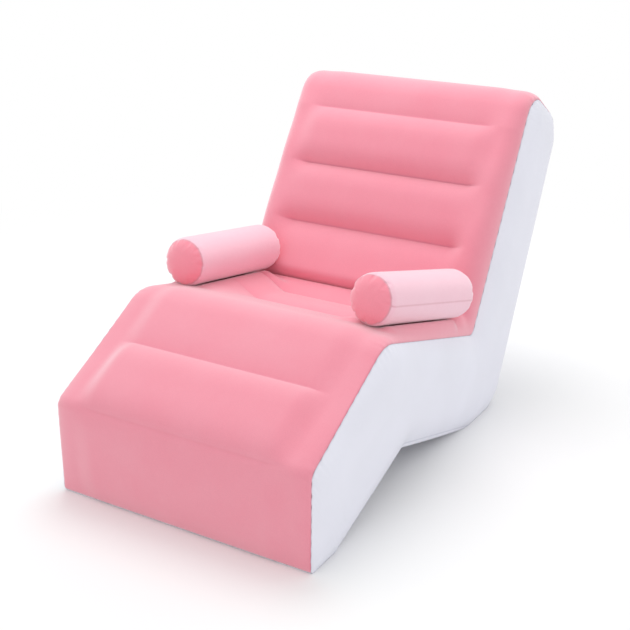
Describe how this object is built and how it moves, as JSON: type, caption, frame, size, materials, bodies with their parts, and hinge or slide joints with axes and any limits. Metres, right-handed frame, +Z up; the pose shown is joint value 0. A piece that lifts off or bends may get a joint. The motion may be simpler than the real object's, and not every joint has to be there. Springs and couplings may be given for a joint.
{
  "type": "inflatable sofa",
  "caption": "Inflatable one-person sofa: bent air chamber with foot, raised knee, sloping seat and leaning back, crossed by weld lines, and two loose armrest rolls.",
  "frame": {"origin": "centre of the footprint's bounding box, on the floor", "axes": "+X across the chair to the sitter's left-hand side seen from the front, which is the right side in the picture, +Y from the foot to the back, +Z up"},
  "size_m": [0.7976, 1.4612, 0.9087],
  "materials": {
    "pink_flock": "pink flocked PVC sheet",
    "pale_flock": "pale pink flocked PVC sheet",
    "white_film": "satin white PVC film",
    "web_film": "plain PVC film inside the chamber",
    "white_vinyl": "moulded vinyl",
    "clear_vinyl": "moulded clear vinyl",
    "black_rubber": "rubber",
    "pink_fabric": "hook-and-loop strip"
  },
  "bodies": {
    "air_chamber": {"top_sheet": "pink_flock", "side_panel_left": "white_film", "side_panel_right": "white_film", "underside_panel": "white_film", "rear_panel": "white_film", "web_foot": "web_film", "web_shin": "web_film", "web_seat_front": "web_film", "web_seat_rear": "web_film", "web_lumbar": "web_film", "web_back_low": "web_film", "web_back_middle": "web_film", "web_back_high": "web_film", "seat_loop_strip_left": "pink_fabric", "seat_loop_strip_right": "pink_fabric", "valve_base": "white_vinyl"},
    "armrest_left": {"armrest_left_barrel": "pale_flock", "armrest_left_front_disc": "pink_flock", "armrest_left_rear_disc": "pink_flock", "armrest_left_hook_strip": "pink_fabric", "armrest_left_valve_stem": "clear_vinyl"},
    "armrest_right": {"armrest_right_barrel": "pale_flock", "armrest_right_front_disc": "pink_flock", "armrest_right_rear_disc": "pink_flock", "armrest_right_hook_strip": "pink_fabric", "armrest_right_valve_stem": "clear_vinyl"},
    "armrest_left_plug": {"armrest_left_valve_plug": "clear_vinyl"},
    "armrest_right_plug": {"armrest_right_valve_plug": "clear_vinyl"},
    "main_valve_gasket": {"valve_gasket": "black_rubber"},
    "main_valve_insert": {"valve_insert": "white_vinyl"},
    "main_valve_flap": {"valve_flap": "clear_vinyl"},
    "main_valve_cap": {"valve_cap": "white_vinyl"}
  },
  "joints": [
    {"name": "armrest_left_lift", "type": "slide", "parent": "air_chamber", "child": "armrest_left", "axis": [0, 0.2957, 0.9553], "range_m": [0, 0.1]},
    {"name": "armrest_right_lift", "type": "slide", "parent": "air_chamber", "child": "armrest_right", "axis": [0, 0.2957, 0.9553], "range_m": [0, 0.1]},
    {"name": "armrest_left_plug_hinge", "type": "hinge", "parent": "armrest_left", "child": "armrest_left_plug", "pos_m": [-0.3071, 0.16085, 0.4455], "axis": [1, -0.0088, 0], "range_deg": [0, 130]},
    {"name": "armrest_right_plug_hinge", "type": "hinge", "parent": "armrest_right", "child": "armrest_right_plug", "pos_m": [0.3433, 0.12823, 0.4282], "axis": [0.9884, -0.1521, 0], "range_deg": [0, 130]},
    {"name": "main_valve_rise", "type": "slide", "parent": "air_chamber", "child": "main_valve_gasket", "axis": [0, 0.8957, -0.4447], "range_m": [0, 0.006]},
    {"name": "main_valve_turn", "type": "hinge", "parent": "main_valve_gasket", "child": "main_valve_insert", "pos_m": [-0.15, 0.59663, 0.42378], "axis": [0, 0.8957, -0.4447], "range_deg": [0, 720]},
    {"name": "main_valve_flap_hinge", "type": "hinge", "parent": "main_valve_insert", "child": "main_valve_flap", "pos_m": [-0.15, 0.59346, 0.43875], "axis": [-1, 0, 0], "range_deg": [0, 50], "stiffness_Nm_per_rad": 0.0003, "springref_deg": -22.92},
    {"name": "main_valve_cap_hinge", "type": "hinge", "parent": "main_valve_insert", "child": "main_valve_cap", "pos_m": [-0.15, 0.59339, 0.39747], "axis": [-1, 0, 0], "range_deg": [0, 130]}
  ],
  "couplings": [
    {"joint": "main_valve_rise", "follows": "main_valve_turn", "m_per_rad": 0.00047746}
  ]
}
